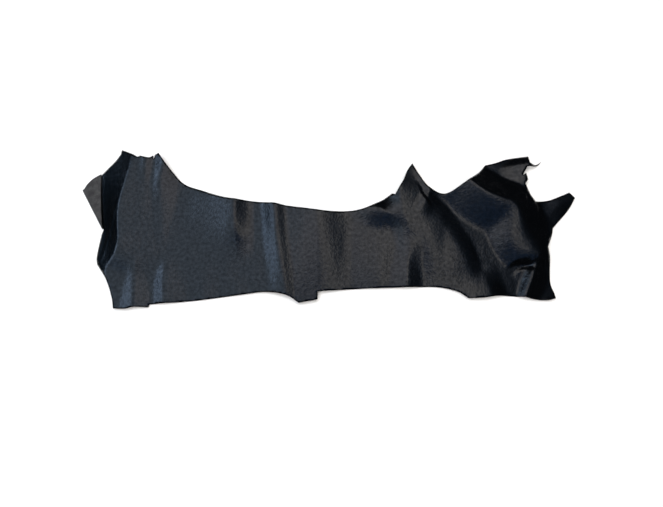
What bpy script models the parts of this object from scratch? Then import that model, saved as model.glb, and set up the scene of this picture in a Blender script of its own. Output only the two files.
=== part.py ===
"""A cut piece of black leather, lying grain side up in soft folds, with its left corner turned back."""
import math
from collections import namedtuple

import bmesh
import bpy
import numpy as np
from mathutils.geometry import delaunay_2d_cdt

# Driving sizes, in millimetres. X runs along the piece, Y across it, Z up from the surface that it lies on.
MM = 0.001
THICKNESS = 1.2

# The left corner is turned back over the grain along a straight line from its upper to its lower end.
TURN_UPPER = (3.2, 193.0)
TURN_LOWER = (43.6, 129.0)
TURN_RADIUS = 2.4
# The folds die out over this distance before the turn.
TURN_CLEAR = 12.0
# The turned flap sinks towards the grain below it, by this much over this distance from the turn.
FLAP_SETTLE = 0.5
FLAP_SETTLE_REACH = 26.0

# How finely the sheet is divided: on the flat, where it bends past the limit, along its edges and the turn.
FLAT_STEP = 11.0
BENT_STEP = 5.5
BEND_LIMIT = 0.65
EDGE_STEP = 7.0
TURN_STEPS = 6
CURVE_SAMPLES = 24
STATION_SAMPLES = 10
# Points keep this share of a step clear of the edges and of each other, and this far apart along the outline.
CLEAR_SHARE = 0.55
CLOSEST = 0.5

# A cut edge starts at its corner, runs smoothly through its bends, and ends at the next row's corner.
Edge = namedtuple("Edge", "name x y bends")
FLAT_EDGES = (
    Edge("shoulder", 27.5, 221.5, ((38, 232), (50, 244))),
    Edge("first horn foot", 58, 256, ()),
    Edge("first horn", 58.5, 264, ((77, 255),)),
    Edge("saddle", 88, 249, ()),
    Edge("saddle rise", 92, 251, ((107, 248),)),
    Edge("nick left", 113, 252, ()),
    Edge("nick bottom", 114.5, 245, ()),
    Edge("nick right", 116, 253, ()),
    Edge("second horn", 122, 256, ((143, 228), (166, 204), (197, 191), (243, 175), (289, 170), (356, 158),
                                  (402, 152), (453, 156), (478, 166))),
    Edge("lip", 500, 180, ()),
    Edge("notch", 505, 178, ((512, 191),)),
    Edge("spike shoulder", 518, 202, ((525, 219),)),
    Edge("spike", 533, 231, ((543, 211), (558, 189), (581, 179), (608, 192), (634, 211))),
    Edge("upper corner", 647, 227, ((664, 231), (682, 237))),
    Edge("far corner", 714, 239, ()),
    Edge("thread root", 714, 227, ((719, 225), (724, 225.5))),
    Edge("thread end", 734, 231, ((729, 226), (723, 222.8), (718, 221.8))),
    Edge("thread back", 710, 221, ()),
    Edge("tear", 702, 207, ()),
    Edge("tear tooth", 707, 210, ()),
    Edge("tear step", 709, 200, ()),
    Edge("tear foot", 705, 194, ((710, 177),)),
    Edge("tail fork", 717, 164, ((739, 166), (758, 173))),
    Edge("tail corner", 770, 178, ()),
    Edge("tail end", 777, 169, ((766, 151),)),
    Edge("tail root", 739, 121, ((736, 110),)),
    Edge("waist", 727, 91, ((728, 71), (726, 35))),
    Edge("lower right", 730, 21, ()),
    Edge("lower right corner", 731, 14, ((720, 11), (703, 12))),
    Edge("lower dip", 684, 16, ((653, 18), (629, 15))),
    Edge("lower bulge", 607, 14, ((592, 24), (564, 31), (516, 31), (441, 29))),
    Edge("step top", 386, 25, ()),
    Edge("step bottom", 386, 13, ()),
    Edge("toe", 358, 8, ((340, 19), (307, 25), (269, 21), (198, 12))),
    Edge("left step top", 131, 7, ()),
    Edge("left step bottom", 130, 2.5, ((107, 2.5), (97, 0.3))),
    Edge("lower left corner", 77, 0.5, ((74, 14), (60, 47))),
    Edge("left bulge", 43, 69, ((40, 78), (40, 99))),
    Edge("left waist", 41.5, 120, ()),
)
# The turned corner's cut edges, as they lie on top of the sheet, and the edge of the sheet that they cover.
FLAP_EDGES = (
    Edge("flap foot", 42, 128.5, ((33.5, 176),)),
    Edge("flap corner", 27.5, 222.5, ((15, 214.5), (6.5, 204.5))),
    Edge("flap root", 3.4, 197, ()),
)
FLAP_END = (2.6, 195)
COVERED_EDGES = (
    Edge("covered root", 5, 195.5, ((9, 203), (17, 212))),
)

# A fold rises along a line of stations. West and east are its reach to the sides of lower and higher X. Its
# crest is a sharp crease at 1 and round at 2, and so is its foot, where it runs out into the sheet.
Station = namedtuple("Station", "x y rise west east crest")
Fold = namedtuple("Fold", "name foot stations")
FOLDS = (
    Fold("left crest", 1.02, (
        Station(80, 262, 11, 50, 90, 1.06),
        Station(78, 229, 12.5, 50, 95, 1.06),
        Station(74, 205, 12.5, 43, 95, 1.06),
        Station(70, 180, 12.4, 37, 90, 1.06),
        Station(68, 155, 11.8, 32, 85, 1.06),
        Station(70, 130, 11, 30, 80, 1.06),
        Station(74, 108, 11, 37, 78, 1.06),
        Station(71, 86, 9.8, 38, 74, 1.06),
        Station(60, 66, 6.8, 26, 68, 1.1),
        Station(60, 46, 5.4, 14, 60, 1.3),
        Station(72, 18, 4.2, 12, 60, 1.3),
        Station(80, -6, 3.6, 12, 60, 1.3),
    )),
    Fold("wave at the saddle", 1.4, (
        Station(130, 258, 5.8, 20, 28, 1.4),
        Station(132, 236, 5.4, 20, 28, 1.4),
        Station(130, 212, 3.8, 18, 28, 1.5),
        Station(132, 184, 2, 15, 24, 1.8),
        Station(134, 154, 0, 12, 20, 2),
    )),
    Fold("first wave below", 1.4, (
        Station(109, -2, 4, 26, 34, 1.3),
        Station(107, 16, 3.8, 25, 34, 1.3),
        Station(104, 42, 2.8, 19, 30, 1.4),
        Station(102, 64, 1.6, 13, 26, 1.5),
        Station(102, 88, 0, 10, 22, 2),
    )),
    Fold("second wave below", 1.4, (
        Station(153, 2, 3.8, 22, 42, 1.3),
        Station(152, 22, 3.5, 22, 42, 1.3),
        Station(150, 42, 2.9, 18, 38, 1.4),
        Station(149, 64, 1.8, 14, 34, 1.5),
        Station(149, 90, 0, 12, 28, 2),
    )),
    Fold("upper ripple", 1.3, (
        Station(251, 178, 10.2, 84, 33, 1.15),
        Station(252, 150, 10.2, 84, 33, 1.15),
        Station(254, 124, 8, 76, 32, 1.25),
        Station(257, 100, 3.8, 56, 30, 1.6),
        Station(260, 76, 1, 44, 26, 1.8),
        Station(262, 56, 0, 36, 26, 2),
    )),
    Fold("middle ridge", 1.2, (
        Station(315, 172, 5.4, 23, 20, 1.2),
        Station(319, 142, 5.4, 23, 20, 1.2),
        Station(322, 114, 5.2, 24, 20, 1.2),
        Station(329, 74, 4.6, 25, 19, 1.2),
        Station(336, 40, 3.8, 26, 16, 1.2),
        Station(339, 14, 3, 26, 14, 1.2),
    )),
    Fold("middle swell", 1.5, (
        Station(380, 158, 8.2, 150, 68, 1.25),
        Station(384, 122, 7.8, 160, 54, 1.4),
        Station(385, 80, 6.8, 160, 54, 1.6),
        Station(384, 34, 5.6, 150, 58, 1.7),
    )),
    Fold("lip", 1.4, (
        Station(430, 164, 0, 26, 16, 2),
        Station(452, 165, 3.8, 32, 19, 1.6),
        Station(473, 163, 6, 34, 21, 1.4),
        Station(487, 156, 6.4, 34, 21, 1.3),
        Station(498, 146, 4.8, 30, 20, 1.3),
        Station(508, 134, 2, 20, 16, 1.5),
        Station(514, 124, 0, 16, 12, 2),
    )),
    Fold("spike", 1.2, (
        Station(531, 244, 3.5, 18, 90, 1.2),
        Station(520, 214, 6.5, 24, 90, 1.2),
        Station(513, 190, 9.4, 26, 90, 1.2),
        Station(512, 176, 9.4, 26, 84, 1.2),
        Station(514, 160, 8, 26, 74, 1.4),
        Station(519, 144, 6.2, 26, 66, 1.6),
        Station(524, 122, 4, 26, 56, 1.8),
        Station(527, 96, 1.8, 24, 50, 2),
        Station(528, 70, 0, 22, 44, 2),
    )),
    Fold("spike's right side", 2.1, (
        Station(541, 234, 0, 14, 14, 2),
        Station(545, 210, 1.3, 17, 20, 1.3),
        Station(550, 190, 2.2, 18, 24, 1.2),
        Station(554, 174, 2.5, 18, 28, 1.2),
        Station(550, 158, 2, 17, 26, 1.4),
        Station(543, 144, 1, 16, 22, 1.8),
        Station(540, 128, 0, 14, 18, 2),
    )),
    Fold("centre swell", 1.4, (
        Station(562, 152, 2.4, 60, 26, 2),
        Station(572, 133, 3.8, 68, 28, 1.9),
        Station(584, 109, 4.2, 72, 28, 1.9),
        Station(595, 87, 3.9, 72, 27, 1.9),
        Station(603, 70, 3.2, 72, 26, 1.9),
        Station(609, 54, 1.8, 66, 26, 1.9),
        Station(613, 38, 0.6, 60, 24, 2),
        Station(616, 20, 0, 60, 24, 2),
    )),
    Fold("first low wave", 1.5, (
        Station(478, 26, 2.6, 34, 30, 1.6),
        Station(480, 60, 2.2, 34, 30, 1.6),
        Station(484, 88, 1, 28, 28, 1.8),
        Station(486, 106, 0, 24, 24, 2),
    )),
    Fold("second low wave", 1.2, (
        Station(517, 22, 5, 28, 26, 1.3),
        Station(520, 60, 4.2, 28, 24, 1.3),
        Station(524, 90, 2.2, 24, 20, 1.5),
        Station(526, 112, 0, 20, 18, 2),
    )),
    Fold("toe of the valley", 1.3, (
        Station(628, 60, 0, 60, 22, 2),
        Station(633, 44, 3, 90, 25, 1.5),
        Station(637, 26, 5.4, 100, 26, 1.4),
        Station(642, 8, 5.8, 100, 26, 1.4),
    )),
    Fold("high ridge", 1.1, (
        Station(590, 222, 14, 53, 38, 1.15),
        Station(612, 204, 15, 53, 40, 1.15),
        Station(633, 184, 15.8, 54, 42, 1.15),
        Station(645, 175, 16, 56, 42, 1.15),
        Station(657, 169, 16.2, 59, 41, 1.15),
        Station(669, 164, 16.4, 62, 40, 1.2),
        Station(679, 160, 16.2, 64, 40, 1.25),
        Station(686, 151, 15.4, 60, 40, 1.3),
        Station(689, 138, 13.6, 56, 40, 1.5),
        Station(691, 121, 11.6, 53, 40, 1.7),
        Station(695, 107, 10.6, 52, 40, 1.8),
        Station(702, 95, 10.2, 52, 38, 1.8),
        Station(708, 84, 9.8, 52, 35, 1.8),
        Station(711, 77, 9, 50, 33, 1.8),
        Station(713, 70, 6, 44, 30, 1.8),
        Station(714, 64, 2, 36, 26, 1.8),
        Station(715, 58, 0, 32, 22, 2),
    )),
    Fold("far corner", 1.3, (
        Station(720, 246, 8, 52, 14, 1.3),
        Station(714, 222, 8, 50, 14, 1.3),
        Station(706, 200, 6, 40, 12, 1.5),
        Station(704, 184, 2, 28, 12, 2),
    )),
    Fold("tail", 1.8, (
        Station(724, 150, 0.6, 24, 20, 1.6),
        Station(742, 150, 1.6, 28, 20, 1.6),
        Station(757, 162, 2.4, 28, 20, 1.6),
        Station(776, 173, 2.4, 24, 18, 1.6),
    )),
    Fold("pleat", 1.3, (
        Station(708, 70, 0, 8, 14, 2),
        Station(705, 61, 5.4, 12, 22, 1.3),
        Station(697, 42, 7.6, 13, 26, 1.3),
        Station(690, 26, 7.2, 12, 26, 1.3),
        Station(684, 10, 6, 11, 22, 1.3),
    )),
    Fold("lower right lip", 1.6, (
        Station(700, 8, 1, 9, 9, 1.5),
        Station(716, 8, 4, 10, 10, 1.4),
        Station(734, 6, 6, 12, 12, 1.4),
    )),
)
# A fold's height is blended along its line, over this distance and this share of how far off the point is.
BLEND_NEAR = 1.0
BLEND_FAR = 0.12

turn_upper = np.array(TURN_UPPER)
turn_length = math.dist(TURN_UPPER, TURN_LOWER)
turn_along = (np.array(TURN_LOWER) - turn_upper) / turn_length
turn_out = np.array((turn_along[1], -turn_along[0]))
turn_arc = math.pi * TURN_RADIUS
turn_rows = np.linspace(0, turn_arc, TURN_STEPS + 1)


def mix(a, b, start, end, at):
    """The value on the straight line through a at start and b at end."""
    return a + (b - a) * (at - start) / (end - start)


def curve_through(points, samples):
    """A smooth curve through rows of numbers, whose first two columns are a place."""
    rows = np.array(points, dtype=float)
    rows = np.vstack((2 * rows[0] - rows[1], rows, 2 * rows[-1] - rows[-2]))
    spans = np.linalg.norm(np.diff(rows[:, :2], axis=0), axis=1)
    knots = np.concatenate(([0.0], np.cumsum(np.sqrt(spans))))
    curve = []
    for i in range(1, len(rows) - 2):
        for at in np.linspace(knots[i], knots[i + 1], samples, endpoint=False):
            near = [mix(rows[j], rows[j + 1], knots[j], knots[j + 1], at) for j in (i - 1, i, i + 1)]
            before = mix(near[0], near[1], knots[i - 1], knots[i + 1], at)
            after = mix(near[1], near[2], knots[i], knots[i + 2], at)
            curve.append(mix(before, after, knots[i], knots[i + 1], at))
    curve.append(rows[-2])
    return np.array(curve)


def evenly(curve, step):
    """The curve at equal steps, with both of its ends."""
    spans = np.linalg.norm(np.diff(curve, axis=0), axis=1)
    travelled = np.concatenate(([0.0], np.cumsum(spans)))
    marks = np.linspace(0, travelled[-1], max(1, round(travelled[-1] / step)) + 1)
    return np.stack([np.interp(marks, travelled, column) for column in curve.T], axis=1)


def cut_line(edges, end):
    """The points along a chain of cut edges, up to but without the end point."""
    targets = [(edge.x, edge.y) for edge in edges[1:]] + [end]
    points = []
    for edge, target in zip(edges, targets):
        run = curve_through(((edge.x, edge.y), *edge.bends, target), CURVE_SAMPLES)
        points.extend(evenly(run, EDGE_STEP)[:-1])
    return np.array(points)


def beyond_turn(points):
    """How far points of the pattern lie past the line where the turn begins, negative where they stay flat."""
    past = (points - turn_upper) @ turn_out
    below = (points - turn_upper) @ turn_along - turn_length
    return np.where(below > CLOSEST, np.minimum(past, -below), past)


def unrolled(points):
    """Where points of the turned corner were while the piece was still flat."""
    inward = -beyond_turn(points)
    return points + np.outer(turn_arc + 2 * inward, turn_out)


def split_over_turn(loop):
    """Adds outline points where an edge crosses the lines along the turn."""
    result = []
    for start, end in zip(loop, np.roll(loop, -1, axis=0)):
        result.append(start)
        length = np.linalg.norm(end - start)
        first, last = beyond_turn(np.array((start, end)))
        crossed = [row for row in turn_rows if (row - first) * (row - last) < 0]
        for share in sorted((row - first) / (last - first) for row in crossed):
            if CLOSEST < share * length < length - CLOSEST:
                result.append(start + (end - start) * share)
    return np.array(result)


def pattern_outline():
    """The outline that the piece was cut to, as one closed loop."""
    flat = cut_line(FLAT_EDGES, TURN_LOWER)
    flap = unrolled(cut_line(FLAP_EDGES, FLAP_END))
    covered = cut_line(COVERED_EDGES, (FLAT_EDGES[0].x, FLAT_EDGES[0].y))
    loop = np.vstack((flat, [TURN_LOWER], flap, covered))
    apart = np.linalg.norm(loop - np.roll(loop, 1, axis=0), axis=1)
    return split_over_turn(loop[apart > CLOSEST])


def inside(points, loop, margin):
    """Which points lie in the outline and at least the margin from it."""
    spans = np.roll(loop, -1, axis=0) - loop
    dx = points[:, :1] - loop[:, 0]
    dy = points[:, 1:] - loop[:, 1]
    crossed = (dy < 0) != (dy < spans[:, 1])
    level = np.where(spans[:, 1] == 0, 1, spans[:, 1])
    within = (crossed & (dx < dy * spans[:, 0] / level)).sum(axis=1) % 2 == 1
    share = np.clip((dx * spans[:, 0] + dy * spans[:, 1]) / (spans ** 2).sum(axis=1), 0, 1)
    away = np.hypot(dx - share * spans[:, 0], dy - share * spans[:, 1])
    return within & (away.min(axis=1) > margin)


def staggered_rows(loop, step):
    """Staggered rows of points inside the outline and clear of the turn, the same step apart each way."""
    low, high = loop.min(axis=0), loop.max(axis=0)
    points = []
    for row, y in enumerate(np.arange(low[1] + step / 2, high[1], step * math.sqrt(3) / 2)):
        for x in np.arange(low[0] + step / 2 * (row % 2), high[0], step):
            points.append((x, y))
    points = np.array(points)
    past = beyond_turn(points)
    points = points[(past < -BENT_STEP) | (past > turn_arc + BENT_STEP)]
    return points[inside(points, loop, step * CLEAR_SHARE)]


def bending(points):
    """How far the folds leave a straight line within a step to each side of each point."""
    bend = np.zeros(len(points))
    for side in np.array(((BENT_STEP, 0), (0, BENT_STEP))):
        bend += np.abs(fold_height(points + side) + fold_height(points - side) - 2 * fold_height(points))
    return bend


def inner_points(loop):
    """Points inside the outline, closer together where the folds bend sharply and along the turn."""
    flat = staggered_rows(loop, FLAT_STEP)
    bent = staggered_rows(loop, BENT_STEP)
    bent = bent[bending(bent) > BEND_LIMIT]
    apart = np.hypot(bent[:, :1] - flat[:, 0], bent[:, 1:] - flat[:, 1]).min(axis=1)
    bent = bent[apart > BENT_STEP * CLEAR_SHARE]
    along = np.arange(0, turn_length, BENT_STEP)
    turned = [turn_upper + turn_along * place + turn_out * row for row in turn_rows for place in along]
    turned = np.array(turned)
    return np.vstack((flat, bent, turned[inside(turned, loop, THICKNESS)]))


def fold_height(points):
    """How high the folds lift each point of the sheet."""
    height = np.zeros(len(points))
    for fold in FOLDS:
        line = curve_through(fold.stations, STATION_SAMPLES)
        x, y, rise, west, east, crest = line.T
        dx = points[:, :1] - x
        dy = points[:, 1:] - y
        heading = np.gradient(line[:, :2], axis=0)
        side = (heading[:, 0] * dy - heading[:, 1] * dx) * heading[:, 1]
        away = np.hypot(dx, dy)
        share = np.clip(away / np.where(side > 0, west, east), 0, 1)
        level = rise * (1 - share ** crest) ** fold.foot
        nearest = away.min(axis=1, keepdims=True)
        weight = np.exp((nearest - away) / (BLEND_NEAR + BLEND_FAR * nearest)) * np.hypot(*heading.T)
        height += (weight * level).sum(axis=1) / weight.sum(axis=1)
    return height


def lying(points):
    """Where the flat pattern's points are on the flesh side once the piece lies in its folds."""
    past = beyond_turn(points)
    angle = np.clip(past / TURN_RADIUS, 0, math.pi)
    flap = np.clip(past - turn_arc, 0, None)
    out = np.where(past > 0, TURN_RADIUS * np.sin(angle) - flap, past)
    xy = points + np.outer(out - past, turn_out)
    settle = FLAP_SETTLE * np.clip(flap / FLAP_SETTLE_REACH, 0, 1)
    turned = TURN_RADIUS * (1 - np.cos(angle)) - settle
    flat = fold_height(points) * np.clip(-past / TURN_CLEAR, 0, 1)
    return np.column_stack((xy, np.where(past > 0, turned, flat)))


def leather_material():
    material = bpy.data.materials.new("black leather")
    material.use_nodes = True
    shader = material.node_tree.nodes["Principled BSDF"]
    shader.inputs["Base Color"].default_value = (0.012, 0.014, 0.018, 1)
    shader.inputs["Roughness"].default_value = 0.42
    shader.inputs["Metallic"].default_value = 0
    return material


def leather_sheet(collection):
    """The flesh side as an open surface, thickened upwards to the grain side."""
    loop = pattern_outline()
    pattern = np.vstack((loop, inner_points(loop)))
    flat, _, triangles, *_ = delaunay_2d_cdt(pattern.tolist(), [], [list(range(len(loop)))], 1, 1e-6)
    places = lying(np.array([tuple(point) for point in flat])) * MM
    middle = (places.min(axis=0) + places.max(axis=0)) / 2
    places[:, :2] -= middle[:2]

    mesh = bpy.data.meshes.new("leather")
    mesh.from_pydata(places.tolist(), [], triangles)
    surface = bmesh.new()
    surface.from_mesh(mesh)
    unused = [vertex for vertex in surface.verts if not vertex.link_faces]
    bmesh.ops.delete(surface, geom=unused, context="VERTS")
    surface.to_mesh(mesh)
    surface.free()
    mesh.shade_smooth()
    mesh.materials.append(leather_material())

    sheet = bpy.data.objects.new("leather", mesh)
    collection.objects.link(sheet)
    solidify = sheet.modifiers.new("thickness", "SOLIDIFY")
    solidify.thickness = THICKNESS * MM
    solidify.offset = 1


for old in list(bpy.data.objects):
    bpy.data.objects.remove(old)
piece = bpy.data.collections.new("piece of leather")
bpy.context.scene.collection.children.link(piece)
leather_sheet(piece)
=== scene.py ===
import math
from collections import namedtuple

import bpy
import numpy as np
from mathutils import Matrix, Vector, noise
from mathutils.geometry import delaunay_2d_cdt


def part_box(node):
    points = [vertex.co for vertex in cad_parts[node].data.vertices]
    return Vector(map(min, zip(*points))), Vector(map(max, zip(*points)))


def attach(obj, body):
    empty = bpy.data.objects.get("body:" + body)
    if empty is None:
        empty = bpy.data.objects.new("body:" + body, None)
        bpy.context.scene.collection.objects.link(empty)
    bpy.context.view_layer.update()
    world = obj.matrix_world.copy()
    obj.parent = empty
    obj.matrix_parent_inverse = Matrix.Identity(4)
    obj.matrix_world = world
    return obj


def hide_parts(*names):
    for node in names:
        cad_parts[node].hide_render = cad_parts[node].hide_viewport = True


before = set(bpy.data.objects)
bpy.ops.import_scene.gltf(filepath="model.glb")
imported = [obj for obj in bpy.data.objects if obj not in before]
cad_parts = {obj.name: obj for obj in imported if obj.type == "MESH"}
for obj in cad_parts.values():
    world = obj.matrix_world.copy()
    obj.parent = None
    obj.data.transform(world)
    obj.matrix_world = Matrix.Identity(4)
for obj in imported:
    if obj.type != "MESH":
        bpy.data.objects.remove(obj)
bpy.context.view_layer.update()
bpy.ops.object.select_all(action="DESELECT")

# The sheet: one offcut of smooth black leather, 1.2 mm thick, cut by hand along its long sides and torn at
# its right end. It lies grain side up in the folds that it was left in, and its left corner is turned back
# over the grain. The outline is in millimetres, X along the piece and Y across it.
MM = 0.001
THICKNESS = 1.2

# The corner is turned back round the line between these two points.
TURN_UPPER = (3.2, 193.0)
TURN_LOWER = (43.6, 129.0)
TURN_RADIUS = 2.4         # of the bend, on the flesh side
TURN_CLEAR = 4.0          # the folds run out over this distance from the turn
FLAP_CLEAR = 45.0         # the shallow swells run out over this one, under the turned corner
FLAP_SETTLE = 0.5         # how far the turned corner sinks towards the layer below
FLAP_SETTLE_REACH = 26.0  # and how far from its bend it takes to do so

# How finely the sheet is drawn, and how near to each other its points may lie.
FLAT_STEP = 2.6
EDGE_STEP = 1.8
TURN_STEPS = 10
CURVE_SAMPLES = 24        # from one point of a cut edge to the next
STATION_SAMPLES = 14      # from one station of a fold to the next
CLEAR_SHARE = 0.55        # of a step, kept free between the outline and the points inside it
CLOSEST = 0.3             # between two points of the outline
MERGED = 1e-6             # points nearer than this become one
POINT_GROUPS = 40         # the points are tested against the outline in groups, to save memory
ONLY_INSIDE = 1           # the triangulation's choice to keep what lies within the outline

# The cut edges, clockwise. Each starts at its own point and bends through more of them to the next edge's.
Edge = namedtuple("Edge", "name x y bends")
FLAT_EDGES = (
    Edge("shoulder", 27.5, 221.5, ((38, 232), (50, 244))),
    Edge("first horn foot", 58, 256, ()),
    Edge("first horn", 58.5, 264, ((77, 255),)),
    Edge("saddle", 88, 249, ()),
    Edge("saddle rise", 92, 251, ((107, 248),)),
    Edge("nick left", 113, 252, ()),
    Edge("nick bottom", 114.5, 245, ()),
    Edge("nick right", 116, 253, ()),
    Edge("second horn", 122, 256, ((143, 228), (166, 204), (197, 191), (243, 175), (289, 170), (356, 158),
                                  (402, 152), (453, 156), (478, 166))),
    Edge("lip", 500, 180, ()),
    Edge("notch", 505, 178, ((512, 191),)),
    Edge("spike shoulder", 518, 202, ((525, 219),)),
    Edge("spike", 533, 231, ((543, 211), (558, 189), (581, 179), (608, 192), (634, 211))),
    Edge("upper corner", 647, 227, ((664, 231), (682, 237))),
    Edge("far corner", 714, 239, ()),
    Edge("thread root", 714, 227, ((719, 225), (724, 225.5))),
    Edge("thread end", 734, 231, ((729, 226), (723, 222.8), (718, 221.8))),
    Edge("thread back", 710, 221, ()),
    Edge("tear", 702, 207, ()),
    Edge("tear tooth", 707, 210, ()),
    Edge("tear step", 709, 200, ()),
    Edge("tear foot", 705, 194, ((710, 177),)),
    Edge("tail fork", 717, 164, ((739, 166), (758, 173))),
    Edge("tail corner", 770, 178, ()),
    Edge("tail end", 777, 169, ((766, 151),)),
    Edge("tail root", 739, 121, ((736, 110),)),
    Edge("waist", 727, 91, ((728, 71), (726, 35))),
    Edge("lower right", 730, 21, ()),
    Edge("lower right corner", 731, 14, ((720, 11), (703, 12))),
    Edge("lower dip", 684, 16, ((653, 18), (629, 15))),
    Edge("lower bulge", 607, 14, ((592, 24), (564, 31), (516, 31), (441, 29))),
    Edge("step top", 386, 25, ()),
    Edge("step bottom", 386, 13, ()),
    Edge("toe", 358, 8, ((340, 19), (307, 25), (269, 21), (198, 12))),
    Edge("left step top", 131, 7, ()),
    Edge("left step bottom", 130, 2.5, ((107, 2.5), (97, 0.3))),
    Edge("lower left corner", 77, 0.5, ((74, 14), (60, 47))),
    Edge("left bulge", 43, 69, ((40, 78), (40, 99))),
    Edge("left waist", 41.5, 120, ()),
)
# The turned corner's edges, where they lie now, and the edge that it covers.
FLAP_EDGES = (
    Edge("flap foot", 42, 128.5, ((33.5, 176),)),
    Edge("flap corner", 27.5, 222.5, ((15, 214.5), (6.5, 204.5))),
    Edge("flap root", 3.4, 197, ()),
)
FLAP_END = (2.6, 195)
COVERED_EDGES = (
    Edge("covered root", 5, 195.5, ((9, 203), (17, 212))),
)

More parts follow.
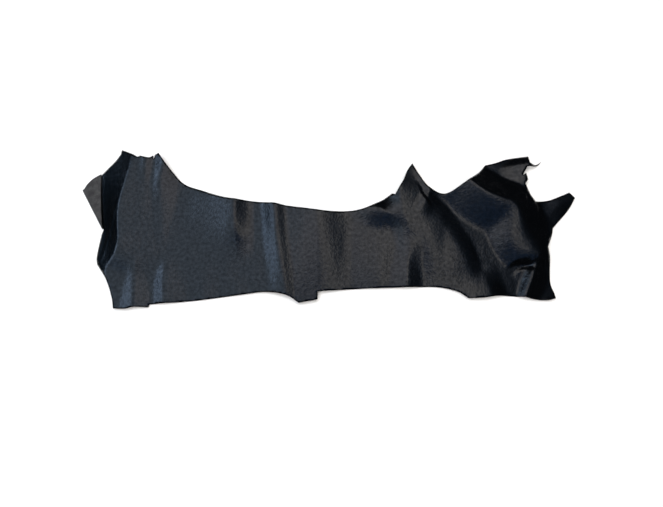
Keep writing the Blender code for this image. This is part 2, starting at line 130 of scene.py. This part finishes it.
# A fold rises along a line of stations. West and east are its reach to the sides of lower and higher X.
# Its crest is a sharp crease at 1 and round at 2, and so is its foot, where it runs out into the sheet.
# A hollow is a fold whose rise is negative: it lowers the folds that it crosses.
Station = namedtuple("Station", "x y rise west east crest")
Fold = namedtuple("Fold", "name foot stations")
FOLDS = (
    Fold("left crest", 1.02, (
        Station(80, 262, 11, 50, 90, 1.02),
        Station(78, 229, 12.5, 53, 95, 1.02),
        Station(74, 205, 12.5, 46, 95, 1.02),
        Station(70, 180, 12.4, 39, 90, 1.02),
        Station(68, 155, 11.4, 32, 85, 1.02),
        Station(70, 130, 10.4, 26.5, 80, 1.02),
        Station(74, 108, 10.8, 36, 78, 1.02),
        Station(71, 86, 9.8, 38, 74, 1.02),
        Station(60, 66, 6.8, 26, 68, 1.1),
        Station(60, 46, 5.4, 14, 60, 1.3),
        Station(72, 18, 4.2, 12, 60, 1.3),
        Station(80, -6, 3.6, 12, 60, 1.3),
    )),
    Fold("crease in the left slope", 1.3, (
        Station(72, 196, 0, 3, 3, 1.2),
        Station(66, 170, 0.3, 3, 3, 1.2),
        Station(61, 152, 0.6, 4, 3, 1.2),
        Station(58, 128, 0.6, 4, 3, 1.2),
        Station(54, 104, 0.6, 4, 3, 1.2),
        Station(50, 82, 0.4, 4, 3, 1.2),
        Station(47, 68, 0, 3, 3, 1.2),
    )),
    Fold("first wave at the saddle", 1.5, (
        Station(102, 258, 2.8, 14, 18, 1.5),
        Station(103, 230, 2, 13, 18, 1.6),
        Station(104, 200, 0, 12, 16, 2),
    )),
    Fold("second wave at the saddle", 1.4, (
        Station(130, 258, 5.8, 20, 28, 1.4),
        Station(132, 236, 5.4, 20, 28, 1.4),
        Station(130, 212, 3.8, 18, 28, 1.5),
        Station(132, 184, 2.4, 16, 26, 1.7),
        Station(135, 154, 1.4, 15, 24, 1.8),
        Station(140, 122, 0.9, 15, 24, 1.8),
        Station(146, 96, 0, 12, 20, 2),
    )),
    Fold("first wave below", 1.4, (
        Station(109, -2, 4, 26, 34, 1.3),
        Station(107, 16, 3.8, 25, 34, 1.3),
        Station(104, 42, 2.8, 19, 30, 1.4),
        Station(102, 64, 1.6, 13, 26, 1.5),
        Station(102, 88, 0, 10, 22, 2),
    )),
    Fold("second wave below", 1.4, (
        Station(153, 2, 3.8, 22, 42, 1.3),
        Station(152, 22, 3.5, 22, 42, 1.3),
        Station(150, 42, 2.9, 18, 38, 1.4),
        Station(149, 64, 1.8, 14, 34, 1.5),
        Station(149, 90, 0, 12, 28, 2),
    )),
    Fold("third wave below", 2, (
        Station(214, 6, 1.2, 16, 24, 1.5),
        Station(210, 44, 0, 14, 20, 2),
    )),
    Fold("fourth wave below", 2, (
        Station(268, 14, 1, 16, 20, 1.5),
        Station(262, 50, 0, 14, 18, 2),
    )),
    Fold("upper ripple", 1.3, (
        Station(253, 178, 10.8, 84, 30, 1.15),
        Station(254, 150, 10.8, 84, 30, 1.15),
        Station(256, 124, 8.6, 76, 30, 1.25),
        Station(259, 100, 4, 56, 29, 1.6),
        Station(262, 76, 1, 44, 26, 1.8),
        Station(264, 56, 0, 36, 26, 2),
    )),
    Fold("middle ridge", 1.2, (
        Station(315, 172, 5.9, 25, 18, 1.2),
        Station(319, 142, 5.9, 25, 18, 1.2),
        Station(322, 114, 5.7, 26, 18, 1.2),
        Station(329, 74, 5, 27, 18, 1.2),
        Station(336, 40, 4.2, 28, 16, 1.2),
        Station(340, 14, 3.4, 28, 14, 1.2),
        Station(342, -4, 3.2, 28, 14, 1.2),
    )),
    Fold("middle swell", 1.5, (
        Station(380, 158, 9.2, 150, 66, 1.25),
        Station(384, 122, 8.4, 160, 55, 1.4),
        Station(385, 80, 6.8, 160, 54, 1.6),
        Station(384, 34, 5.6, 150, 58, 1.7),
        Station(384, 2, 5.4, 150, 58, 1.7),
    )),
    Fold("lip", 1.4, (
        Station(436, 156, 0, 26, 18, 2),
        Station(458, 157, 3.8, 32, 23, 1.6),
        Station(478, 155, 6, 34, 26, 1.4),
        Station(491, 149, 6.2, 34, 26, 1.3),
        Station(501, 141, 3.8, 30, 22, 1.4),
        Station(509, 132, 1.2, 20, 16, 1.6),
        Station(514, 124, 0, 16, 12, 2),
    )),
    Fold("spike", 1.2, (
        Station(531, 244, 3.5, 18, 90, 1.2),
        Station(520, 214, 6.5, 24, 90, 1.2),
        Station(513, 190, 9.4, 26, 90, 1.2),
        Station(512, 176, 9.4, 26, 84, 1.2),
        Station(514, 160, 8, 26, 74, 1.4),
        Station(519, 144, 6.2, 26, 66, 1.6),
        Station(524, 122, 4, 26, 56, 1.8),
        Station(527, 96, 1.8, 24, 50, 2),
        Station(528, 70, 0, 22, 44, 2),
    )),
    Fold("spike's right side", 2.1, (
        Station(536, 236, 0, 12, 14, 2),
        Station(545, 213, 1.6, 15, 20, 1.3),
        Station(552, 200, 2.4, 17, 22, 1.2),
        Station(557, 189, 2.9, 18, 24, 1.2),
        Station(556, 179, 3, 18, 26, 1.2),
        Station(551, 167, 2.6, 17, 26, 1.3),
        Station(545, 154, 1.4, 16, 22, 1.8),
        Station(541, 138, 0, 14, 18, 2),
    )),
    Fold("centre swell", 1.4, (
        Station(562, 152, 2.4, 60, 26, 2),
        Station(572, 133, 3.8, 68, 28, 1.9),
        Station(584, 109, 4.2, 72, 28, 1.9),
        Station(595, 87, 3.9, 72, 27, 1.9),
        Station(603, 70, 3.2, 72, 26, 1.9),
        Station(609, 54, 1.8, 66, 26, 1.9),
        Station(613, 38, 0.6, 60, 24, 2),
        Station(616, 20, 0, 60, 24, 2),
    )),
    Fold("first low wave", 1.5, (
        Station(478, 26, 2.2, 38, 34, 1.7),
        Station(480, 60, 1.8, 38, 34, 1.7),
        Station(484, 88, 0.8, 30, 30, 1.8),
        Station(486, 106, 0, 24, 24, 2),
    )),
    Fold("second low wave", 1.2, (
        Station(517, 22, 5, 28, 26, 1.3),
        Station(520, 60, 4.2, 28, 24, 1.3),
        Station(524, 90, 2.2, 24, 20, 1.5),
        Station(526, 112, 0, 20, 18, 2),
    )),
    Fold("toe of the valley", 1.3, (
        Station(628, 60, 0, 60, 22, 2),
        Station(633, 44, 3, 90, 25, 1.5),
        Station(637, 26, 5.4, 100, 26, 1.4),
        Station(642, 8, 5.8, 100, 26, 1.4),
    )),
    Fold("high ridge", 1.1, (
        Station(590, 222, 14, 53, 38, 1.15),
        Station(612, 204, 15, 53, 40, 1.15),
        Station(633, 184, 15.8, 54, 42, 1.15),
        Station(645, 175, 16, 56, 42, 1.15),
        Station(657, 169, 16.2, 59, 41, 1.15),
        Station(669, 164, 16.4, 62, 40, 1.2),
        Station(679, 160, 16.2, 64, 40, 1.25),
        Station(686, 151, 15.4, 60, 40, 1.3),
        Station(689, 138, 13.6, 56, 40, 1.5),
        Station(691, 121, 11.6, 53, 40, 1.7),
        Station(695, 107, 10.6, 52, 40, 1.8),
        Station(702, 95, 10.2, 52, 38, 1.8),
        Station(708, 84, 9.8, 52, 35, 1.8),
        Station(711, 77, 9, 50, 33, 1.8),
        Station(713, 70, 6, 44, 30, 1.8),
        Station(714, 64, 2, 36, 26, 1.8),
        Station(715, 58, 0, 32, 22, 2),
    )),
    Fold("far corner", 1.3, (
        Station(720, 246, 8, 52, 14, 1.3),
        Station(714, 222, 8, 50, 14, 1.3),
        Station(706, 200, 6, 40, 12, 1.5),
        Station(704, 184, 2, 28, 12, 2),
    )),
    Fold("far corner's edge", 1.2, (
        Station(636, 240, -2, 18, 20, 1.4),
        Station(662, 244, -3.5, 18, 24, 1.4),
        Station(690, 249, -6, 18, 26, 1.4),
        Station(716, 252, -7, 18, 26, 1.4),
        Station(736, 254, -7, 18, 26, 1.4),
    )),
    Fold("low ridge", 1.8, (
        Station(706, 184, 1.4, 13, 14, 1.4),
        Station(713, 161, 1.6, 14, 15, 1.4),
        Station(718, 145, 1.6, 14, 15, 1.4),
        Station(726, 130, 1.4, 14, 15, 1.4),
        Station(737, 112, 1.2, 14, 15, 1.4),
    )),
    Fold("tail", 1.8, (
        Station(724, 150, 0.6, 24, 20, 1.6),
        Station(742, 150, 1.6, 28, 20, 1.6),
        Station(757, 162, 2.4, 28, 20, 1.6),
        Station(776, 173, 2.4, 24, 18, 1.6),
    )),
    Fold("pleat", 1.3, (
        Station(708, 70, 0, 8, 14, 2),
        Station(705, 61, 5.4, 12, 22, 1.3),
        Station(697, 42, 7.6, 13, 26, 1.3),
        Station(690, 26, 7.2, 12, 26, 1.3),
        Station(684, 10, 6, 11, 22, 1.3),
    )),
    Fold("hollow by the pleat", 1.3, (
        Station(708, 62, 0, 8, 8, 2),
        Station(697, 63, -4, 10, 7, 1.6),
        Station(685, 62, -5, 11, 7, 1.6),
        Station(675, 57, -4, 10, 6, 1.6),
        Station(667, 48, -2, 8, 6, 1.6),
        Station(662, 38, 0, 7, 6, 2),
    )),
    Fold("lower right lip", 1.6, (
        Station(700, 8, 1, 9, 9, 1.5),
        Station(716, 8, 4, 10, 10, 1.4),
        Station(734, 6, 6, 12, 12, 1.4),
    )),
)
BLEND_NEAR = 1.0          # millimetres of a fold's line that shape the sheet right beside it
BLEND_FAR = 0.12          # and how many more of them count for each millimetre away from it

# The hide is never quite flat: broad, shallow swells, each with its width and its rise.
Swell = namedtuple("Swell", "across rise")
SWELLS = (Swell(64, 1.1), Swell(26, 0.5))
SWELL_STRETCH = 3         # a swell is this many times longer across the piece than along it
SWELL_FLOOR = -0.25       # where the noise is lower than this, the hide lies flat
SWELL_APART = 7.3         # keeps the swells' patterns from matching

# The ways along the turn and out over it, and the rows of points round its bend.
turn_upper = np.array(TURN_UPPER)
turn_length = math.dist(TURN_UPPER, TURN_LOWER)
turn_along = (np.array(TURN_LOWER) - turn_upper) / turn_length
turn_out = np.array((turn_along[1], -turn_along[0]))
turn_arc = math.pi * TURN_RADIUS
turn_rows = np.linspace(0, turn_arc, TURN_STEPS + 1)


def mix(a, b, start, end, at):
    """The value at one place on the straight way from a, at the start, to b, at the end."""
    return a + (b - a) * (at - start) / (end - start)


def curve_through(points, samples):
    """A smooth curve through rows of numbers, whose first two columns are a place."""
    rows = np.array(points, dtype=float)
    rows = np.vstack((2 * rows[0] - rows[1], rows, 2 * rows[-1] - rows[-2]))
    spans = np.linalg.norm(np.diff(rows[:, :2], axis=0), axis=1)
    knots = np.concatenate(([0.0], np.cumsum(np.sqrt(spans))))
    curve = []
    for i in range(1, len(rows) - 2):
        for at in np.linspace(knots[i], knots[i + 1], samples, endpoint=False):
            near = [mix(rows[j], rows[j + 1], knots[j], knots[j + 1], at) for j in (i - 1, i, i + 1)]
            before = mix(near[0], near[1], knots[i - 1], knots[i + 1], at)
            after = mix(near[1], near[2], knots[i], knots[i + 2], at)
            curve.append(mix(before, after, knots[i], knots[i + 1], at))
    curve.append(rows[-2])
    return np.array(curve)


def evenly(curve, step):
    """The curve at equal steps, with both of its ends."""
    spans = np.linalg.norm(np.diff(curve, axis=0), axis=1)
    travelled = np.concatenate(([0.0], np.cumsum(spans)))
    marks = np.linspace(0, travelled[-1], max(1, round(travelled[-1] / step)) + 1)
    return np.stack([np.interp(marks, travelled, column) for column in curve.T], axis=1)


def cut_line(edges, end):
    """The points along a chain of cut edges, up to but without the end point."""
    targets = [(edge.x, edge.y) for edge in edges[1:]] + [end]
    points = []
    for edge, target in zip(edges, targets):
        run = curve_through(((edge.x, edge.y), *edge.bends, target), CURVE_SAMPLES)
        points.extend(evenly(run, EDGE_STEP)[:-1])
    return np.array(points)


def beyond_turn(points):
    """How far points of the pattern lie past the line of the turn, negative where they stay flat."""
    past = (points - turn_upper) @ turn_out
    below = (points - turn_upper) @ turn_along - turn_length
    return np.where(below > CLOSEST, np.minimum(past, -below), past)


def unrolled(points):
    """Where points of the turned corner were while the piece was still flat."""
    inward = -beyond_turn(points)
    return points + np.outer(turn_arc + 2 * inward, turn_out)


def split_over_turn(loop):
    """Adds outline points where an edge crosses the lines along the turn."""
    result = []
    for start, end in zip(loop, np.roll(loop, -1, axis=0)):
        result.append(start)
        length = np.linalg.norm(end - start)
        first, last = beyond_turn(np.array((start, end)))
        crossed = [row for row in turn_rows if (row - first) * (row - last) < 0]
        for share in sorted((row - first) / (last - first) for row in crossed):
            if CLOSEST < share * length < length - CLOSEST:
                result.append(start + (end - start) * share)
    return np.array(result)


def pattern_outline():
    """The outline that the piece was cut to, as one closed loop."""
    flat = cut_line(FLAT_EDGES, TURN_LOWER)
    flap = unrolled(cut_line(FLAP_EDGES, FLAP_END))
    covered = cut_line(COVERED_EDGES, (FLAT_EDGES[0].x, FLAT_EDGES[0].y))
    loop = np.vstack((flat, [TURN_LOWER], flap, covered))
    apart = np.linalg.norm(loop - np.roll(loop, 1, axis=0), axis=1)
    return split_over_turn(loop[apart > CLOSEST])


def inside(points, loop, margin):
    """Which points lie in the outline and at least the margin from it."""
    within = np.zeros(len(points), dtype=bool)
    spans = np.roll(loop, -1, axis=0) - loop
    # A level span is never crossed, so any number but zero can divide there.
    rises = np.where(spans[:, 1] == 0, 1, spans[:, 1])
    for part in np.array_split(np.arange(len(points)), POINT_GROUPS):
        dx = points[part, :1] - loop[:, 0]
        dy = points[part, 1:] - loop[:, 1]
        crossed = (dy < 0) != (dy < spans[:, 1])
        held = (crossed & (dx < dy * spans[:, 0] / rises)).sum(axis=1) % 2 == 1
        share = np.clip((dx * spans[:, 0] + dy * spans[:, 1]) / (spans ** 2).sum(axis=1), 0, 1)
        away = np.hypot(dx - share * spans[:, 0], dy - share * spans[:, 1])
        within[part] = held & (away.min(axis=1) > margin)
    return within


def inner_points(loop):
    """Staggered rows of points inside the outline, and closer rows along the turn."""
    low, high = loop.min(axis=0), loop.max(axis=0)
    points = []
    for row, y in enumerate(np.arange(low[1], high[1], FLAT_STEP * math.sqrt(3) / 2)):
        for x in np.arange(low[0] + FLAT_STEP / 2 * (row % 2), high[0], FLAT_STEP):
            points.append((x, y))
    points = np.array(points)
    past = beyond_turn(points)
    points = points[(past < -FLAT_STEP / 2) | (past > turn_arc + FLAT_STEP / 2)]
    along = np.arange(0, turn_length, FLAT_STEP / 2)
    turned = np.array([
        turn_upper + turn_along * place + turn_out * row for row in turn_rows for place in along
    ])
    return np.vstack((
        points[inside(points, loop, FLAT_STEP * CLEAR_SHARE)],
        turned[inside(turned, loop, EDGE_STEP * CLEAR_SHARE)],
    ))


def fold_height(points, folds):
    """How high the folds lift each point of the sheet."""
    height = np.zeros(len(points))
    for fold in folds:
        line = curve_through(fold.stations, STATION_SAMPLES)
        x, y, rise, west, east, crest = line.T
        reach = max(west.max(), east.max())
        low, high = line[:, :2].min(axis=0) - reach, line[:, :2].max(axis=0) + reach
        reached = ((points > low) & (points < high)).all(axis=1)
        dx = points[reached, :1] - x
        dy = points[reached, 1:] - y
        heading = np.gradient(line[:, :2], axis=0)
        side = (heading[:, 0] * dy - heading[:, 1] * dx) * heading[:, 1]
        away = np.hypot(dx, dy)
        share = np.clip(away / np.where(side > 0, west, east), 0, 1)
        level = rise * (1 - share ** crest) ** fold.foot
        # The nearest stretch of the line counts most, and further off a longer stretch of it counts.
        nearest = away.min(axis=1, keepdims=True)
        weight = np.exp((nearest - away) / (BLEND_NEAR + BLEND_FAR * nearest)) * np.hypot(*heading.T)
        height[reached] += (weight * level).sum(axis=1) / weight.sum(axis=1)
    return np.clip(height, 0, None)


def swell_height(points):
    """The shallow unevenness of the hide, never below the surface that it lies on."""
    height = np.zeros(len(points))
    for layer, swell in enumerate(SWELLS):
        level = np.array([
            noise.noise(Vector((x / swell.across, y / swell.across / SWELL_STRETCH, SWELL_APART * layer)))
            for x, y in points
        ])
        height += swell.rise * np.clip(level - SWELL_FLOOR, 0, None)
    return height


def lying(points):
    """Where the flat pattern's points are on the flesh side once the piece lies in its folds."""
    past = beyond_turn(points)
    angle = np.clip(past / TURN_RADIUS, 0, math.pi)
    flap = np.clip(past - turn_arc, 0, None)
    out = np.where(past > 0, TURN_RADIUS * np.sin(angle) - flap, past)
    xy = points + np.outer(out - past, turn_out)
    settle = FLAP_SETTLE * np.clip(flap / FLAP_SETTLE_REACH, 0, 1)
    turned = TURN_RADIUS * (1 - np.cos(angle)) - settle
    clear_of_turn = np.clip(-past / TURN_CLEAR, 0, 1)
    clear_of_flap = np.clip(-past / FLAP_CLEAR, 0, 1)
    flat = fold_height(points, FOLDS) * clear_of_turn + swell_height(points) * clear_of_flap
    return np.column_stack((xy, np.where(past > 0, turned, flat)))


outline = pattern_outline()
pattern = np.vstack((outline, inner_points(outline)))
rim = list(range(len(outline)))
cut, _, triangles, *_ = delaunay_2d_cdt(pattern.tolist(), [], [rim], ONLY_INSIDE, MERGED)
cut = np.array([tuple(point) for point in cut])
places = lying(cut) * MM
solid_low, solid_high = (np.array(corner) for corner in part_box("leather"))
places[:, :2] += ((solid_low + solid_high) / 2 - (places.min(axis=0) + places.max(axis=0)) / 2)[:2]

mesh = bpy.data.meshes.new("sheet")
mesh.from_pydata(places.tolist(), [], triangles)
flat_map = mesh.uv_layers.new(name="cut flat")
corners = np.empty(len(mesh.loops), dtype=int)
mesh.loops.foreach_get("vertex_index", corners)
flat_map.data.foreach_set("uv", (cut[corners] * MM).ravel())
mesh.shade_smooth()

sheet = bpy.data.objects.new("leather_sheet", mesh)
bpy.context.scene.collection.objects.link(sheet)


# The grain side: chrome-tanned hide, dyed through, rolled smooth and finished with a thin black resin coat.
# The coat gives a soft gloss that mirrors the light in broad, blurred bands, broken up by fine pores.
def colour(text):
    """An sRGB hex colour as linear RGBA."""
    parts = [int(text[i:i + 2], 16) / 255 for i in (1, 3, 5)]
    return (*[c / 12.92 if c <= 0.04045 else ((c + 0.055) / 1.055) ** 2.4 for c in parts], 1)


def add(tree, kind, inputs=None, **settings):
    """Adds a node, with its settings and with the values or the sockets that feed its inputs."""
    node = tree.nodes.new(kind)
    for name, value in settings.items():
        setattr(node, name, value)
    for name, value in (inputs or {}).items():
        if isinstance(value, bpy.types.NodeSocket):
            tree.links.new(value, node.inputs[name])
        else:
            node.inputs[name].default_value = value
    return node


def new_material(name):
    """An empty material, and the tree to build it in."""
    material = bpy.data.materials.new(name)
    material.use_nodes = True
    material.node_tree.nodes.clear()
    return material, material.node_tree


def patchy(tree, place, across, detail):
    """Noise with patches of this many millimetres, with so many finer layers in them."""
    return add(tree, "ShaderNodeTexNoise", {
        "Vector": place, "Scale": 1 / (across * MM), "Detail": detail,
    }).outputs["Fac"]


NOISE_USUAL = (0.3, 0.7)  # the span that holds nearly all of the noise


def spread(tree, value, low, high):
    """Noise drawn out to the span from low to high."""
    return add(tree, "ShaderNodeMapRange", {
        "Value": value, "From Min": NOISE_USUAL[0], "From Max": NOISE_USUAL[1], "To Min": low, "To Max": high,
    }).outputs["Result"]


def finish(tree, height, strength, depth, looks):
    """Ends a material: its looks, and a relief of this depth in millimetres."""
    bump = add(tree, "ShaderNodeBump", {"Height": height, "Strength": strength, "Distance": depth * MM})
    shader = add(tree, "ShaderNodeBsdfPrincipled", {**looks, "Normal": bump.outputs["Normal"]})
    add(tree, "ShaderNodeOutputMaterial", {"Surface": shader.outputs["BSDF"]})


GRAIN_PORE = 2.6              # millimetres between pores, drawn coarser than the real 0.3
GRAIN_PATCH = 5.0             # millimetres across the patches where the coat lies thicker or thinner
GRAIN_BREAK = 6.0             # millimetres across the patches where the dye took more or less
GRAIN_RELIEF = 0.12           # millimetres, the depth of the pores as drawn
GRAIN_ROUGHNESS = (0.17, 0.24)
GRAIN_SHINE = (0.33, 0.67)    # where the coat is thin it mirrors less


def grain_leather():
    material, tree = new_material("smooth black leather")
    place = add(tree, "ShaderNodeUVMap", uv_map="cut flat").outputs["UV"]
    pores = add(tree, "ShaderNodeTexVoronoi", {"Vector": place, "Scale": 1 / (GRAIN_PORE * MM)})
    coat = patchy(tree, place, GRAIN_PATCH, detail=3)
    patches = patchy(tree, place, GRAIN_BREAK, detail=3)
    tint = add(tree, "ShaderNodeMix", {
        "Factor": patches, "A": colour("#020304"), "B": colour("#050608"),
    }, data_type="RGBA")
    relief = add(tree, "ShaderNodeMath", {0: pores.outputs["Distance"], 1: coat}, operation="ADD")
    finish(tree, relief.outputs[0], strength=1, depth=GRAIN_RELIEF, looks={
        "Base Color": tint.outputs["Result"], "IOR": 1.5,
        "Roughness": spread(tree, patches, *GRAIN_ROUGHNESS),
        "Specular IOR Level": spread(tree, coat, *GRAIN_SHINE),
    })
    return material


sheet.data.materials.append(grain_leather())


# The flesh side: the same hide's split and buffed back, a short grey nap with no finish on it.
# It shows on the turned corner and underneath, dull and mottled.
NAP_TUFT = 1.6         # millimetres across a tuft of fibres, drawn coarser than the real 0.5
NAP_CLOUD = 9.0        # millimetres across the paler and darker patches
NAP_RELIEF = 0.5       # millimetres, the depth of the nap as drawn
NAP_TINTS = ((0.38, "#2e2e30"), (0.62, "#464647"))  # from the dark patches to the pale ones


def flesh_suede():
    material, tree = new_material("grey buffed suede")
    place = add(tree, "ShaderNodeUVMap", uv_map="cut flat").outputs["UV"]
    tufts = patchy(tree, place, NAP_TUFT, detail=4)
    clouds = patchy(tree, place, NAP_CLOUD, detail=4)
    both = add(tree, "ShaderNodeMix", {"Factor": 0.5, "A": tufts, "B": clouds})
    tint = add(tree, "ShaderNodeValToRGB", {"Fac": both.outputs["Result"]})
    for stop, (position, shade) in zip(tint.color_ramp.elements, NAP_TINTS):
        stop.position = position
        stop.color = colour(shade)
    finish(tree, tufts, strength=0.6, depth=NAP_RELIEF, looks={
        "Base Color": tint.outputs["Color"], "Roughness": 0.95, "Specular IOR Level": 0.2,
    })
    return material


sheet.data.materials.append(flesh_suede())


# The cut edge: the hide's fibres, dyed through to a dull charcoal, with no finish. It runs all round the
# outline, between the grain side and the flesh side.
EDGE_FIBRE = 0.8       # millimetres between fibre bundles
EDGE_RELIEF = 0.4      # millimetres, the depth between them as drawn


def cut_edge():
    material, tree = new_material("raw cut edge")
    place = add(tree, "ShaderNodeTexCoord").outputs["Object"]
    fibres = patchy(tree, place, EDGE_FIBRE, detail=3)
    tint = add(tree, "ShaderNodeMix", {
        "Factor": fibres, "A": colour("#18191b"), "B": colour("#303133"),
    }, data_type="RGBA")
    finish(tree, fibres, strength=0.5, depth=EDGE_RELIEF, looks={
        "Base Color": tint.outputs["Result"], "Roughness": 0.85,
    })
    return material


sheet.data.materials.append(cut_edge())

# The thickness lies above the flesh side: grain on top, flesh below, and the cut edge all round.
bpy.context.view_layer.objects.active = sheet
solidify = sheet.modifiers.new("thickness", "SOLIDIFY")
solidify.thickness = THICKNESS * MM
solidify.offset = 1
solidify.material_offset = 1
solidify.material_offset_rim = 2
bpy.ops.object.modifier_apply(modifier=solidify.name)

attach(sheet, "root")
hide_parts("leather")


# The surface it lies on, the light and the camera: a plain white table under a pale ceiling, a window to the
# left, and a darker room to the right, seen from above and a little from the near side.
FLOOR_SIDE = 8.0
bpy.ops.mesh.primitive_plane_add(size=FLOOR_SIDE)
floor = bpy.context.object
floor.name = "table"
table_white, table_tree = new_material("white table")
table_shader = add(table_tree, "ShaderNodeBsdfPrincipled", {
    "Base Color": colour("#f4f4f4"), "Roughness": 0.9, "Specular IOR Level": 0.1,
})
add(table_tree, "ShaderNodeOutputMaterial", {"Surface": table_shader.outputs["BSDF"]})
floor.data.materials.append(table_white)

# The room as the gloss mirrors it: level panels, in metres, with their light. The fill isn't mirrored.
Panel = namedtuple("Panel", "name west east south north height radiance tint mirrored")
PANELS = (
    Panel("wall beyond the window", -3.4, -2.1, -0.6, 1.6, 1.6, 0.08, "#61bcff", True),
    Panel("window", -2.05, -1.4, -0.15, 1.25, 1.6, 3.0, "#c0dcff", True),
    Panel("ceiling by the window", -1.4, -0.45, -0.15, 1.25, 1.6, 1.12, "#cde2fa", True),
    Panel("ceiling", -0.45, -0.1, 0.1, 1.25, 1.6, 1.4, "#f0f3ff", True),
    Panel("ceiling by the lamp", -0.1, 0.2, 0.26, 1.25, 1.6, 1.1, "#f0f3ff", True),
    Panel("ceiling lamp", 0.2, 0.47, 0.0, 1.25, 1.6, 1.5, "#fffbf8", True),
    Panel("wall behind the lamp", 0.47, 0.78, 0.0, 1.25, 1.6, 0.42, "#c4dcff", True),
    Panel("far side", 0.78, 1.4, 0.0, 1.25, 1.6, 0.06, "#9cc8ff", True),
    Panel("near side by the window", -1.5, -0.45, -0.6, -0.15, 1.6, 0.9, "#b4d4ff", True),
    Panel("near side by the ceiling", -0.45, -0.1, -0.6, 0.1, 1.6, 0.34, "#a4c4f4", True),
    Panel("near side", -0.1, 0.2, -0.6, 0.26, 1.6, 0.36, "#7cb4ff", True),
    Panel("near side by the lamp", 0.2, 0.7, -0.6, 0.0, 1.6, 0.3, "#7cb4ff", True),
    Panel("fill", -2, 2, -2, 2, 2.2, 2.15, "#fffaf2", False),
)
for panel in PANELS:
    light = bpy.data.lights.new(panel.name, "AREA")
    light.shape = "RECTANGLE"
    light.size, light.size_y = panel.east - panel.west, panel.north - panel.south
    # A panel's radiance is its power, over its area and over pi.
    light.energy = panel.radiance * light.size * light.size_y * math.pi
    light.color = colour(panel.tint)[:3]
    lamp = bpy.data.objects.new(panel.name, light)
    lamp.location = ((panel.west + panel.east) / 2, (panel.south + panel.north) / 2, panel.height)
    lamp.visible_glossy = panel.mirrored
    bpy.context.scene.collection.objects.link(lamp)

world = bpy.data.worlds.new("room")
world.use_nodes = True
world.node_tree.nodes["Background"].inputs["Color"].default_value = colour("#121419")
world.node_tree.nodes["Background"].inputs["Strength"].default_value = 1
bpy.context.scene.world = world
bpy.context.scene.view_settings.view_transform = "Standard"

# The photograph's viewing angle: 73 cm above the table, tilted about 17 degrees from straight down.
CAMERA_PLACE = Vector((0.0592, -0.2616, 0.7308))
CAMERA_AIM = Vector((0.0172, -0.0469, 0))
CAMERA_ROLL = math.radians(0.43)
CAMERA_LENS = 27.15
camera = bpy.data.objects.new("camera", bpy.data.cameras.new("camera"))
camera.location = CAMERA_PLACE
backward = (CAMERA_PLACE - CAMERA_AIM).normalized()
rightward = Vector((0, 1, 0)).cross(backward).normalized()
level = Matrix((rightward, backward.cross(rightward), backward)).transposed()
camera.rotation_euler = (level @ Matrix.Rotation(CAMERA_ROLL, 3, "Z")).to_euler()
camera.data.lens = CAMERA_LENS
bpy.context.scene.collection.objects.link(camera)
bpy.context.scene.camera = camera
